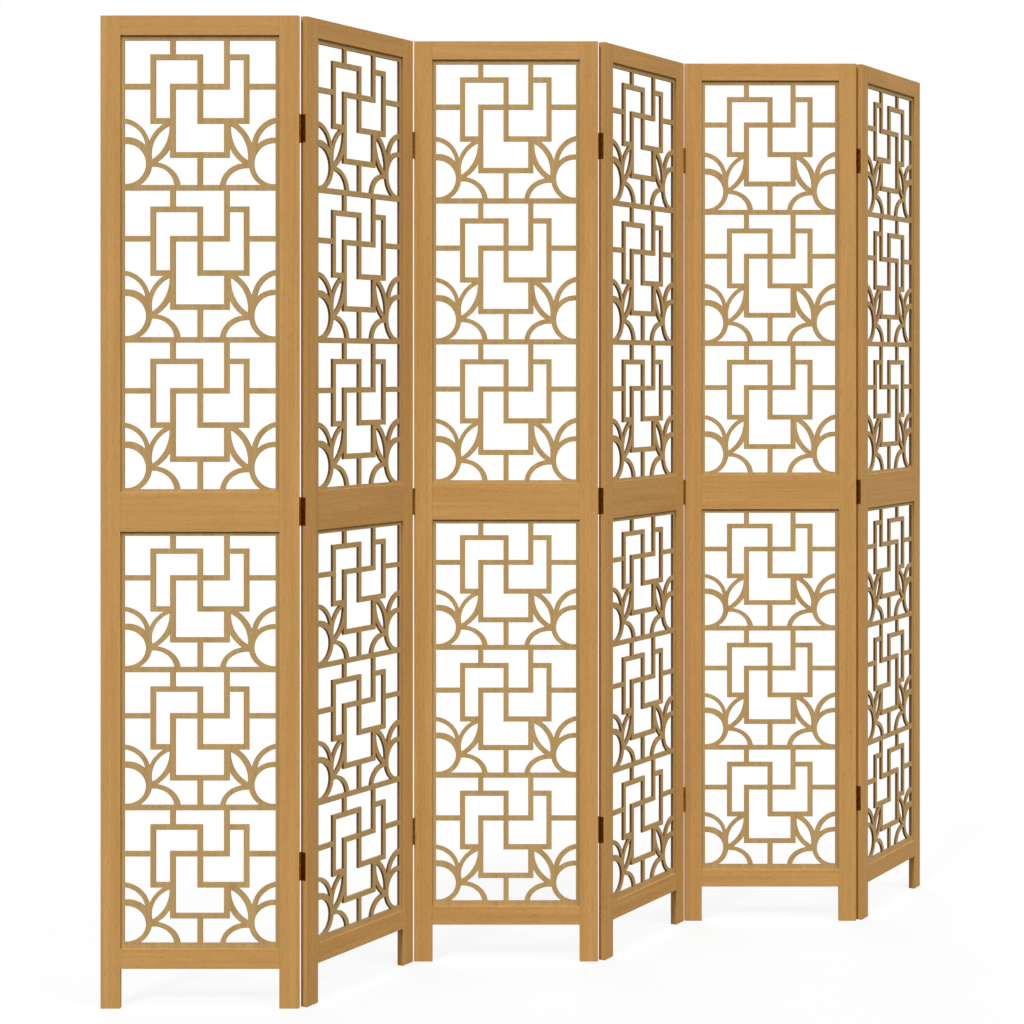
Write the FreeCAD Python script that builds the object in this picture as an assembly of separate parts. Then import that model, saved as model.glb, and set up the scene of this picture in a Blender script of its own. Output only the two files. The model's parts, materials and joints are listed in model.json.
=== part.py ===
import FreeCAD, Part
import math
import os

os.makedirs("parts", exist_ok=True)

# Folding room divider: tall wooden panels with pierced lattice boards, hinged edge to edge
# and standing in a zigzag. Lengths are in millimetres and angles in degrees.
# X runs along the screen, Y away from its front, Z up from the floor.

# The screen as a whole
PANEL_COUNT = 6
REST_TURN = 60.0  # turn from each panel to the next, as the screen stands

# Panel frame
PANEL_HEIGHT = 1750.0
PANEL_WIDTH = 350.0
FRAME_THICKNESS = 13.0
STILE_WIDTH = 35.0
LEG_HEIGHT = 70.0
BOTTOM_RAIL_HEIGHT = 35.0
LOWER_OPENING_HEIGHT = 735.0
MIDDLE_RAIL_HEIGHT = 70.0
TOP_RAIL_HEIGHT = 35.0
EASED_EDGE = 0.6

# Stub tenons on the rails and the mortises that take them
TENON_LENGTH = 20.0
TENON_THICKNESS = 5.0
TENON_SHOULDER = 8.0
MORTISE_END_GAP = 0.5

# Lattice boards and the grooves that hold their edges
LATTICE_THICKNESS = 5.0
GROOVE_DEPTH = 6.0
BOARD_END_GAP = 0.5
TILE_COUNT = 3

# Widths of the lattice strokes and of the plain margins that show inside the frame
UPRIGHT_STROKE = 10.0
UPPER_CROSS_STROKE = 10.0
LOWER_CROSS_STROKE = 9.4
SIDE_MARGIN = 7.0
UPPER_HEAD_MARGIN = 8.6
UPPER_FOOT_MARGIN = 5.0
UPPER_FIRST_TILE_RISE = 0.0
LOWER_HEAD_MARGIN = 7.5
LOWER_FOOT_MARGIN = 9.6
LOWER_FIRST_TILE_RISE = 5.0

# Butt hinges
HINGE_LENGTH = 50.0
HINGE_FROM_TOP = 198.0
HINGE_FROM_FLOOR = 248.0
PANEL_EDGE_GAP = 1.0  # between two panels' edges when the screen lies flat
PIVOT_STANDOFF = 1.1  # from the frame's face out to the hinge's axis
LEAF_WIDTH = 10.5
LEAF_THICKNESS = 1.0
KNUCKLE_DIAMETER = 4.4
END_KNUCKLE_LENGTH = 10.0
KNUCKLE_END_GAP = 0.2
KNUCKLE_CLEARANCE = 0.3
PIN_DIAMETER = 2.2
PIN_CLEARANCE = 0.05
PIN_PROUD = 0.5
GAIN_CLEARANCE = 0.1

# Countersunk screws, three in each leaf
SCREW_LENGTH = 14.0
SCREW_SHANK_DIAMETER = 2.2
SCREW_HEAD_DIAMETER = 4.4
SCREW_HEAD_DEPTH = 0.9
SCREW_POINT_LENGTH = 2.5
SCREW_CLEARANCE = 0.05
SCREW_FROM_LEAF_END = 6.5
CROSS_RECESS_LENGTH = 2.4
CROSS_RECESS_WIDTH = 0.5
CROSS_RECESS_DEPTH = 0.5

# How far a cutting tool runs past the surface that it cuts
OVERRUN = 2.0

# The lattice tile: places across are shares of the opening's width, places up are shares
# of one tile's height, and the strokes are centred on them
FAR_LEFT_SHARE = 0.204
LEFT_SHARE = 0.328
CENTRE_SHARE = 0.5
RIGHT_SHARE = 0.668
FAR_RIGHT_SHARE = 0.792
TILE_FOOT_SHARE = 0.0
SILL_SHARE = 0.2157
LAP_SHARE = 0.4396
WAIST_SHARE = 0.6651
HEAD_SHARE = 0.8584
TILE_TOP_SHARE = 1.0
OPENING_LEFT_SHARE = 0.0
OPENING_RIGHT_SHARE = 1.0

# Upright strokes: place across, foot, head
UPRIGHT_SHARES = (
    (FAR_LEFT_SHARE, LAP_SHARE, HEAD_SHARE),
    (LEFT_SHARE, SILL_SHARE, WAIST_SHARE),
    (LEFT_SHARE, HEAD_SHARE, TILE_TOP_SHARE),
    (CENTRE_SHARE, TILE_FOOT_SHARE, SILL_SHARE),
    (CENTRE_SHARE, LAP_SHARE, HEAD_SHARE),
    (RIGHT_SHARE, SILL_SHARE, LAP_SHARE),
    (RIGHT_SHARE, WAIST_SHARE, TILE_TOP_SHARE),
    (FAR_RIGHT_SHARE, LAP_SHARE, HEAD_SHARE),
)

# Cross strokes: height, left end, right end
CROSS_SHARES = (
    (SILL_SHARE, LEFT_SHARE, RIGHT_SHARE),
    (LAP_SHARE, FAR_LEFT_SHARE, LEFT_SHARE),
    (LAP_SHARE, CENTRE_SHARE, FAR_RIGHT_SHARE),
    (WAIST_SHARE, OPENING_LEFT_SHARE, FAR_LEFT_SHARE),
    (WAIST_SHARE, LEFT_SHARE, RIGHT_SHARE),
    (WAIST_SHARE, FAR_RIGHT_SHARE, OPENING_RIGHT_SHARE),
    (HEAD_SHARE, FAR_LEFT_SHARE, CENTRE_SHARE),
    (HEAD_SHARE, RIGHT_SHARE, FAR_RIGHT_SHARE),
)

# Ovals of the flower in a tile's lower left corner, which is mirrored into the right one:
# centre across, centre up, half width, half height
BUD_SHARES = (0.027, 0.158, 0.129, 0.1345)
PETAL_SHARES = (-0.009, 0.2664, 0.154, 0.161)
STEM_SHARES = (0.214, 0.001, 0.125, 0.1304)
LEAF_OUTER_SIDE_SHARES = (0.392, 0.2224, 0.1936, 0.2019)
LEAF_INNER_SIDE_SHARES = (0.077, 0.3849, 0.2264, 0.2362)
# the bud's rim is a little wider on its leaf side
BUD_RIM_SHIFT_SHARES = (0.0085, 0.0037)

# Places that follow from the sizes above
OPENING_WIDTH = PANEL_WIDTH - 2 * STILE_WIDTH
BOTTOM_RAIL_FOOT = LEG_HEIGHT
LOWER_OPENING_FOOT = BOTTOM_RAIL_FOOT + BOTTOM_RAIL_HEIGHT
MIDDLE_RAIL_FOOT = LOWER_OPENING_FOOT + LOWER_OPENING_HEIGHT
UPPER_OPENING_FOOT = MIDDLE_RAIL_FOOT + MIDDLE_RAIL_HEIGHT
TOP_RAIL_FOOT = PANEL_HEIGHT - TOP_RAIL_HEIGHT
UPPER_OPENING_HEIGHT = TOP_RAIL_FOOT - UPPER_OPENING_FOOT
BOARD_REACH = GROOVE_DEPTH - BOARD_END_GAP
BOARD_FRONT = (FRAME_THICKNESS - LATTICE_THICKNESS) / 2
TENON_FRONT = (FRAME_THICKNESS - TENON_THICKNESS) / 2
KNUCKLE_RADIUS = KNUCKLE_DIAMETER / 2
PIN_RADIUS = PIN_DIAMETER / 2
HINGE_HEIGHTS = (
    HINGE_FROM_FLOOR,
    MIDDLE_RAIL_FOOT + MIDDLE_RAIL_HEIGHT / 2,
    PANEL_HEIGHT - HINGE_FROM_TOP,
)
SCREW_HEIGHTS = (
    SCREW_FROM_LEAF_END - HINGE_LENGTH / 2,
    0,
    HINGE_LENGTH / 2 - SCREW_FROM_LEAF_END,
)
SCREW_DEPTH_IN_LEAF = -PIVOT_STANDOFF - LEAF_WIDTH / 2
END_KNUCKLES = (
    (-HINGE_LENGTH / 2, END_KNUCKLE_LENGTH - HINGE_LENGTH / 2),
    (HINGE_LENGTH / 2 - END_KNUCKLE_LENGTH, HINGE_LENGTH / 2),
)
MIDDLE_KNUCKLE = (
    (
        END_KNUCKLE_LENGTH + KNUCKLE_END_GAP - HINGE_LENGTH / 2,
        HINGE_LENGTH / 2 - END_KNUCKLE_LENGTH - KNUCKLE_END_GAP,
    ),
)

ACROSS = FreeCAD.Vector(1, 0, 0)
DEEP = FreeCAD.Vector(0, 1, 0)
UP = FreeCAD.Vector(0, 0, 1)
ORIGIN = FreeCAD.Vector(0, 0, 0)
LEFT, RIGHT = -1, 1
FRONT, BACK = -1, 1


def block(x0, x1, y0, y1, z0, z1):
    """A plain block between two places on each axis."""
    corner = FreeCAD.Vector(x0, y0, z0)
    return Part.makeBox(x1 - x0, y1 - y0, z1 - z0, corner)


def upright_rod(radius, z0, z1):
    """A round rod on the Z axis between two heights."""
    return Part.makeCylinder(radius, z1 - z0, FreeCAD.Vector(0, 0, z0), UP)


def moved(shape, x, y, z):
    """A copy of a shape, shifted."""
    copy = shape.copy()
    copy.translate(FreeCAD.Vector(x, y, z))
    return copy


# Panel frame


def tenon_span(rail_foot, rail_height):
    """The heights between which a rail's tenons stand."""
    return rail_foot + TENON_SHOULDER, rail_foot + rail_height - TENON_SHOULDER


def board_groove(opening_foot, opening_height):
    """The slot round one opening that takes the edges of its lattice board."""
    return block(
        STILE_WIDTH - GROOVE_DEPTH,
        PANEL_WIDTH - STILE_WIDTH + GROOVE_DEPTH,
        BOARD_FRONT,
        BOARD_FRONT + LATTICE_THICKNESS,
        opening_foot - GROOVE_DEPTH,
        opening_foot + opening_height + GROOVE_DEPTH,
    )


def mortises(rail_foot, rail_height):
    """The cavities in both stiles that take one rail's tenons."""
    foot, head = tenon_span(rail_foot, rail_height)
    reach = TENON_LENGTH + MORTISE_END_GAP
    return block(
        STILE_WIDTH - reach,
        PANEL_WIDTH - STILE_WIDTH + reach,
        TENON_FRONT,
        TENON_FRONT + TENON_THICKNESS,
        foot,
        head,
    )


def stile(side):
    """One upright of the frame, down to its leg, with its grooves, mortises and hinge gains."""
    left = 0 if side == LEFT else PANEL_WIDTH - STILE_WIDTH
    body = block(left, left + STILE_WIDTH, 0, FRAME_THICKNESS, 0, PANEL_HEIGHT)
    body = body.makeFillet(EASED_EDGE, body.Edges)
    cutters = [
        board_groove(LOWER_OPENING_FOOT, LOWER_OPENING_HEIGHT),
        board_groove(UPPER_OPENING_FOOT, UPPER_OPENING_HEIGHT),
        mortises(BOTTOM_RAIL_FOOT, BOTTOM_RAIL_HEIGHT),
        mortises(MIDDLE_RAIL_FOOT, MIDDLE_RAIL_HEIGHT),
        mortises(TOP_RAIL_FOOT, TOP_RAIL_HEIGHT),
    ]
    return body.cut(cutters)


def rail(rail_foot, rail_height, grooves):
    """A cross member with a stub tenon at each end."""
    left, right = STILE_WIDTH, PANEL_WIDTH - STILE_WIDTH
    body = block(left, right, 0, FRAME_THICKNESS, rail_foot, rail_foot + rail_height)
    long_edges = [edge for edge in body.Edges if edge.BoundBox.XLength > STILE_WIDTH]
    body = body.makeFillet(EASED_EDGE, long_edges)
    foot, head = tenon_span(rail_foot, rail_height)
    tenons = block(
        left - TENON_LENGTH,
        right + TENON_LENGTH,
        TENON_FRONT,
        TENON_FRONT + TENON_THICKNESS,
        foot,
        head,
    )
    return body.fuse(tenons).cut(grooves).removeSplitter()


# Lattice boards, made from shapes as thick as the board, with the opening's lower left
# corner at the origin


def slab(x0, x1, z0, z1):
    """A rectangle of the board between two places on each axis."""
    return block(x0, x1, 0, LATTICE_THICKNESS, z0, z1)


def oval_slab(x, z, half_width, half_height):
    """An oval of the board, or a disc where both halves are alike."""
    centre = FreeCAD.Vector(x, 0, z)
    if half_width >= half_height:
        tips = (centre + ACROSS * half_width, centre + UP * half_height)
    else:
        tips = (centre + UP * half_height, centre + ACROSS * half_width)
    edge = Part.Ellipse(tips[0], tips[1], centre).toShape()
    return Part.Face(Part.Wire([edge])).extrude(DEEP * LATTICE_THICKNESS)


class Tile:
    """One repeat of the lattice pattern, at its real size."""

    def __init__(self, height, cross_stroke):
        self.height = height
        self.cross_stroke = cross_stroke

    def oval(self, shares, stroke=0, shift_shares=(0, 0)):
        """An oval of the flower, widened all round by a share of the strokes' widths."""
        x, z, half_width, half_height = shares
        return oval_slab(
            (x + shift_shares[0]) * OPENING_WIDTH,
            (z + shift_shares[1]) * self.height,
            half_width * OPENING_WIDTH + stroke * UPRIGHT_STROKE,
            half_height * self.height + stroke * self.cross_stroke,
        )

    def band(self, shares):
        """A ring one stroke wide round an oval."""
        return self.oval(shares, stroke=1).cut(self.oval(shares))

    def flower(self):
        """The bud, petal, stem and leaf in the tile's lower left corner."""
        bud_rim = self.oval(BUD_SHARES, 1, BUD_RIM_SHIFT_SHARES)
        outer_side = self.oval(LEAF_OUTER_SIDE_SHARES, 1)
        leaf = outer_side.common(self.oval(LEAF_INNER_SIDE_SHARES, 1))
        leaf_hole = self.oval(LEAF_OUTER_SIDE_SHARES).common(self.oval(LEAF_INNER_SIDE_SHARES))
        group = bud_rim.fuse([self.band(PETAL_SHARES), self.band(STEM_SHARES), leaf])
        group = group.cut([self.oval(BUD_SHARES), leaf_hole])
        return group.common(slab(0, OPENING_WIDTH, 0, self.height))

    def strokes(self):
        """The straight strokes of the tile, with the full cross stroke at its foot."""
        half_up, half_cross = UPRIGHT_STROKE / 2, self.cross_stroke / 2
        bars = [slab(0, OPENING_WIDTH, -half_cross, half_cross)]
        for across, foot, head in UPRIGHT_SHARES:
            x = across * OPENING_WIDTH
            z0 = foot * self.height - half_cross
            z1 = head * self.height + half_cross
            bars.append(slab(x - half_up, x + half_up, z0, z1))
        for level, left, right in CROSS_SHARES:
            z = level * self.height
            x0 = left * OPENING_WIDTH - half_up
            x1 = right * OPENING_WIDTH + half_up
            bars.append(slab(x0, x1, z - half_cross, z + half_cross))
        return bars

    def shapes(self):
        """Every shape of the tile."""
        flower = self.flower()
        mirrored = moved(flower.mirror(ORIGIN, ACROSS), OPENING_WIDTH, 0, 0)
        return self.strokes() + [flower, mirrored]


def lattice_board(opening_foot, opening_height, first_rise, cross_stroke, foot_margin, head_margin):
    """A pierced board that fills one opening: a plain margin round a stack of tiles."""
    tile = Tile((opening_height - first_rise) / TILE_COUNT, cross_stroke)
    outside = slab(
        -BOARD_REACH,
        OPENING_WIDTH + BOARD_REACH,
        -BOARD_REACH,
        opening_height + BOARD_REACH,
    )
    inside = slab(
        SIDE_MARGIN,
        OPENING_WIDTH - SIDE_MARGIN,
        foot_margin,
        opening_height - head_margin,
    )
    shapes = tile.shapes()
    whole_tile = shapes[0].fuse(shapes[1:]).removeSplitter()
    rises = [first_rise + number * tile.height for number in range(TILE_COUNT)]
    pattern = [moved(whole_tile, 0, 0, rise) for rise in rises]
    board = outside.cut(inside).fuse(pattern).common(outside).removeSplitter()
    return moved(board, STILE_WIDTH, BOARD_FRONT, opening_foot)


# Hinges, drawn round the axis at the Z axis: the leaf stands on the edge of a panel that
# lies on the side of negative X, with the panel's face at negative Y


def screw():
    """A countersunk wood screw along negative X, with its head flush at the leaf's face."""
    head = Part.makeCone(
        SCREW_HEAD_DIAMETER / 2,
        SCREW_SHANK_DIAMETER / 2,
        SCREW_HEAD_DEPTH,
        ORIGIN,
        -ACROSS,
    )
    shank_end = -ACROSS * (SCREW_LENGTH - SCREW_POINT_LENGTH)
    shank = Part.makeCylinder(
        SCREW_SHANK_DIAMETER / 2,
        SCREW_LENGTH - SCREW_POINT_LENGTH,
        ORIGIN,
        -ACROSS,
    )
    point = Part.makeCone(SCREW_SHANK_DIAMETER / 2, 0, SCREW_POINT_LENGTH, shank_end, -ACROSS)
    arm, half = CROSS_RECESS_LENGTH / 2, CROSS_RECESS_WIDTH / 2
    recess = [
        block(-CROSS_RECESS_DEPTH, OVERRUN, -arm, arm, -half, half),
        block(-CROSS_RECESS_DEPTH, OVERRUN, -half, half, -arm, arm),
    ]
    return head.fuse([shank, point]).cut(recess).removeSplitter()


def screw_hole():
    """The countersunk hole that clears one screw, in the leaf and in the wood."""
    wide = SCREW_HEAD_DIAMETER / 2 + SCREW_CLEARANCE
    narrow = SCREW_SHANK_DIAMETER / 2 + SCREW_CLEARANCE
    sink = Part.makeCone(wide, narrow, SCREW_HEAD_DEPTH, ORIGIN, -ACROSS)
    bore = Part.makeCylinder(narrow, SCREW_LENGTH + SCREW_CLEARANCE, ORIGIN, -ACROSS)
    return sink.fuse(bore)


def at_screws(shape):
    """A copy of a shape at each screw of one leaf."""
    face = -PANEL_EDGE_GAP / 2
    return [moved(shape, face, SCREW_DEPTH_IN_LEAF, height) for height in SCREW_HEIGHTS]


def leaf(own_knuckles, other_knuckles):
    """One leaf with its knuckles, cut clear of the other leaf's knuckles."""
    half = HINGE_LENGTH / 2
    plate = block(
        -PANEL_EDGE_GAP / 2 - LEAF_THICKNESS,
        -PANEL_EDGE_GAP / 2,
        -PIVOT_STANDOFF - LEAF_WIDTH,
        0,
        -half,
        half,
    )
    room = [
        upright_rod(KNUCKLE_RADIUS + KNUCKLE_CLEARANCE, z0 - KNUCKLE_END_GAP, z1 + KNUCKLE_END_GAP)
        for z0, z1 in other_knuckles
    ]
    barrels = [upright_rod(KNUCKLE_RADIUS, z0, z1) for z0, z1 in own_knuckles]
    bore = upright_rod(PIN_RADIUS + PIN_CLEARANCE, -half - OVERRUN, half + OVERRUN)
    return plate.cut(room).fuse(barrels).cut([bore] + at_screws(screw_hole())).removeSplitter()


def hinge_room():
    """What is cut from a stile for one leaf: its gain, the knuckles' cove and the pilot holes."""
    half = HINGE_LENGTH / 2 + GAIN_CLEARANCE
    gain = block(
        -PANEL_EDGE_GAP / 2 - LEAF_THICKNESS,
        OVERRUN,
        -PIVOT_STANDOFF - LEAF_WIDTH,
        OVERRUN,
        -half,
        half,
    )
    cove = upright_rod(KNUCKLE_RADIUS + KNUCKLE_CLEARANCE, -half, half)
    return [gain, cove] + at_screws(screw_hole())


def pin():
    """The hinge's pin, just proud of its end knuckles."""
    half = HINGE_LENGTH / 2 + PIN_PROUD
    return upright_rod(PIN_RADIUS, -half, half)


def pivot_in_panel(side, face):
    """The hinge axis in a panel's own frame."""
    x = PANEL_WIDTH + PANEL_EDGE_GAP / 2 if side == RIGHT else -PANEL_EDGE_GAP / 2
    y = FRAME_THICKNESS + PIVOT_STANDOFF if face == BACK else -PIVOT_STANDOFF
    return x, y


def at_edge(shape, side, face):
    """A hinge piece in its place across a panel: which edge it is on, and which face it folds to."""
    if side == LEFT:
        shape = shape.mirror(ORIGIN, ACROSS)
    if face == FRONT:
        shape = shape.mirror(ORIGIN, DEEP)
    return moved(shape, *pivot_in_panel(side, face), 0)


def at_hinge_heights(shapes):
    """Copies of hinge pieces at every hinge on one edge."""
    return [moved(shape, 0, 0, height) for height in HINGE_HEIGHTS for shape in shapes]


# The whole screen


def panel_heading(number):
    """The angle of a panel's width from the X axis."""
    return -REST_TURN / 2 if number % 2 else REST_TURN / 2


def folding_face(joint):
    """The face that two neighbours fold together on: back, front, back and so on."""
    return BACK if joint % 2 else FRONT


def turned(x, y, angle):
    """A point turned about the origin."""
    turn = math.radians(angle)
    return x * math.cos(turn) - y * math.sin(turn), x * math.sin(turn) + y * math.cos(turn)


def screen_layout():
    """Each panel's corner and each hinge axis, with the screen's footprint centred."""
    corners, pivots = [(0, 0)], []
    for joint in range(1, PANEL_COUNT):
        face = folding_face(joint)
        dx, dy = turned(*pivot_in_panel(RIGHT, face), panel_heading(joint))
        pivot = (corners[-1][0] + dx, corners[-1][1] + dy)
        dx, dy = turned(*pivot_in_panel(LEFT, face), panel_heading(joint + 1))
        pivots.append(pivot)
        corners.append((pivot[0] - dx, pivot[1] - dy))
    reach = []
    for number, (x, y) in enumerate(corners, 1):
        for across in (0, PANEL_WIDTH):
            for deep in (0, FRAME_THICKNESS):
                dx, dy = turned(across, deep, panel_heading(number))
                reach.append((x + dx, y + dy))
    middle_x = (min(x for x, y in reach) + max(x for x, y in reach)) / 2
    middle_y = (min(y for x, y in reach) + max(y for x, y in reach)) / 2
    corners = [(x - middle_x, y - middle_y) for x, y in corners]
    pivots = [(x - middle_x, y - middle_y) for x, y in pivots]
    return corners, pivots


def export_node(name, shapes, corner, heading):
    """Stand a node's solids in the screen and write them."""
    shape = shapes[0] if len(shapes) == 1 else Part.makeCompound(shapes)
    shape = shape.copy()
    shape.rotate(ORIGIN, UP, heading)
    shape.translate(FreeCAD.Vector(corner[0], corner[1], 0))
    shape.exportStep("parts/" + name + ".step")
    return shape


def panel_hinges(number):
    """The edges of one panel that carry hinges: side, folding face, own and other knuckles."""
    edges = []
    if number > 1:
        edges.append((LEFT, folding_face(number - 1), MIDDLE_KNUCKLE, END_KNUCKLES))
    if number < PANEL_COUNT:
        edges.append((RIGHT, folding_face(number), END_KNUCKLES, MIDDLE_KNUCKLE))
    return edges


def main():
    """Build every panel and write its nodes."""
    lower_groove = board_groove(LOWER_OPENING_FOOT, LOWER_OPENING_HEIGHT)
    upper_groove = board_groove(UPPER_OPENING_FOOT, UPPER_OPENING_HEIGHT)
    plain_stiles = {LEFT: stile(LEFT), RIGHT: stile(RIGHT)}
    rails = {
        "top_rail": rail(TOP_RAIL_FOOT, TOP_RAIL_HEIGHT, [upper_groove]),
        "middle_rail": rail(MIDDLE_RAIL_FOOT, MIDDLE_RAIL_HEIGHT, [upper_groove, lower_groove]),
        "bottom_rail": rail(BOTTOM_RAIL_FOOT, BOTTOM_RAIL_HEIGHT, [lower_groove]),
    }
    boards = {
        "upper_lattice": lattice_board(
            UPPER_OPENING_FOOT,
            UPPER_OPENING_HEIGHT,
            UPPER_FIRST_TILE_RISE,
            UPPER_CROSS_STROKE,
            UPPER_FOOT_MARGIN,
            UPPER_HEAD_MARGIN,
        ),
        "lower_lattice": lattice_board(
            LOWER_OPENING_FOOT,
            LOWER_OPENING_HEIGHT,
            LOWER_FIRST_TILE_RISE,
            LOWER_CROSS_STROKE,
            LOWER_FOOT_MARGIN,
            LOWER_HEAD_MARGIN,
        ),
    }
    corners, pivots = screen_layout()
    for number, corner in enumerate(corners, 1):
        heading = panel_heading(number)
        prefix = "panel_%d_" % number
        stiles = dict(plain_stiles)
        leaves, screws = [], []
        for side, face, own, other in panel_hinges(number):
            room = [at_edge(cutter, side, face) for cutter in hinge_room()]
            stiles[side] = stiles[side].cut(at_hinge_heights(room))
            leaves += at_hinge_heights([at_edge(leaf(own, other), side, face)])
            screws += at_hinge_heights([at_edge(s, side, face) for s in at_screws(screw())])
            if side == RIGHT:
                pins = at_hinge_heights([at_edge(pin(), side, face)])
                export_node(prefix + "hinge_pins", pins, corner, heading)
        export_node(prefix + "left_stile", [stiles[LEFT]], corner, heading)
        export_node(prefix + "right_stile", [stiles[RIGHT]], corner, heading)
        for name, shape in rails.items():
            export_node(prefix + name, [shape], corner, heading)
        for name, shape in boards.items():
            # the last panel's boards are set in the other way round
            if number == PANEL_COUNT:
                shape = moved(shape.mirror(ORIGIN, ACROSS), PANEL_WIDTH, 0, 0)
            export_node(prefix + name, [shape], corner, heading)
        export_node(prefix + "hinge_leaves", leaves, corner, heading)
        export_node(prefix + "hinge_screws", screws, corner, heading)
    for joint, pivot in enumerate(pivots, 1):
        print("joint %d axis at x %.4f y %.4f" % (joint, pivot[0], pivot[1]))
    for number, corner in enumerate(corners, 1):
        print("panel %d corner at x %.4f y %.4f" % (number, corner[0], corner[1]))


main()
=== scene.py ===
"""Looks of a folding wooden room divider: stained wood, bronzed hinges and a plain white studio.

Everything is in metres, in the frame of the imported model: X along the screen, Y away from its
front, Z up from the floor.
"""

import json
import logging
import math
from collections.abc import Callable
from dataclasses import dataclass
from enum import Enum
from typing import Generic, TypeVar

import bmesh
import bpy
from mathutils import Matrix, Vector
from mathutils.geometry import delaunay_2d_cdt

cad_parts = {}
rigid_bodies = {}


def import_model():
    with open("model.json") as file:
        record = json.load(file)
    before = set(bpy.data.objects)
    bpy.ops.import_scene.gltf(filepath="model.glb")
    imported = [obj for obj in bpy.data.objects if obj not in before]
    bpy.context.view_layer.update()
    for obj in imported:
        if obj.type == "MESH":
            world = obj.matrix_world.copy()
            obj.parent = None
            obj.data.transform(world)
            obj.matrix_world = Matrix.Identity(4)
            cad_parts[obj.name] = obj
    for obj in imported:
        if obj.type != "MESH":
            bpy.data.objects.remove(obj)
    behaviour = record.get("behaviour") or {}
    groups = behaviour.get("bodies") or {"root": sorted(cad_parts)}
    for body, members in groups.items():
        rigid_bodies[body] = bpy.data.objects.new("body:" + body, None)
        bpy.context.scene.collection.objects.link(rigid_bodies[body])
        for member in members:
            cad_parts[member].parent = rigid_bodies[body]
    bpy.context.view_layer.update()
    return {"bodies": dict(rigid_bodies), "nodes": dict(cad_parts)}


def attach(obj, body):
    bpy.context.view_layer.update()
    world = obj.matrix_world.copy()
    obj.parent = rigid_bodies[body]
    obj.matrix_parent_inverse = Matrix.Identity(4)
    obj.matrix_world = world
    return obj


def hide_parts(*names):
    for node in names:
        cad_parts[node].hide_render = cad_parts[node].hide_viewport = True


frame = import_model()

Colour = tuple[float, float, float, float]
Point = tuple[float, float]
Range = tuple[float, float]
Oval = tuple[float, float, float, float]
Shape = TypeVar("Shape")
Inputs = dict[str | int, object]

IMAGE_SIDE = 1024
SCREEN_LEVELS = 255
SCREEN_OFFSET = 0.055
SCREEN_POWER = 2.4
WHITE: Colour = (1.0, 1.0, 1.0, 1.0)
NOISE_MEAN = 0.5
BLEND_FIRST, BLEND_SECOND, BLEND_RESULT = 6, 7, 2
WELD = 0.000005
CROWDED = 0.00012
CUT_MARK = "cut_edge"
FACING_MARK = "facing"
log = logging.getLogger("room_divider")


def tone(red: int, green: int, blue: int) -> Colour:
    """Turn a colour as it shows on a screen into the linear colour that a shader takes.

    Args:
        red: Red from 0 to 255.
        green: Green from 0 to 255.
        blue: Blue from 0 to 255.

    Returns:
        The linear colour with full alpha.
    """
    shares = [level / SCREEN_LEVELS for level in (red, green, blue)]
    linear = [((share + SCREEN_OFFSET) / (1 + SCREEN_OFFSET)) ** SCREEN_POWER for share in shares]
    return (*linear, 1.0)


def grey(level: float) -> Colour:
    """Make a linear grey with full alpha."""
    return (level, level, level, 1.0)


# Node trees


@dataclass(frozen=True)
class Signal:
    """A node's socket that Python's arithmetic works on."""

    graph: "Graph"
    socket: bpy.types.NodeSocket

    def _math(self, operation: str, first: object, second: object = 0.0) -> "Signal":
        """Add one Math node on two values."""
        node = self.graph.add("ShaderNodeMath", {"operation": operation}, {0: first, 1: second})
        return Signal(self.graph, node.outputs[0])

    def __add__(self, other: object) -> "Signal":
        """Add a value."""
        return self._math("ADD", self, other)

    def __radd__(self, other: object) -> "Signal":
        """Add to a value."""
        return self._math("ADD", other, self)

    def __sub__(self, other: object) -> "Signal":
        """Take a value away."""
        return self._math("SUBTRACT", self, other)

    def __rsub__(self, other: object) -> "Signal":
        """Take this away from a value."""
        return self._math("SUBTRACT", other, self)

    def __mul__(self, other: object) -> "Signal":
        """Multiply by a value."""
        return self._math("MULTIPLY", self, other)

    def __rmul__(self, other: object) -> "Signal":
        """Multiply a value by this."""
        return self._math("MULTIPLY", other, self)

    def __neg__(self) -> "Signal":
        """Turn the sign round."""
        return self._math("MULTIPLY", self, -1.0)

    def larger(self, other: object) -> "Signal":
        """Take the larger of this and a value."""
        return self._math("MAXIMUM", self, other)

    def size(self) -> "Signal":
        """Drop the sign."""
        return self._math("ABSOLUTE", self)


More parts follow.
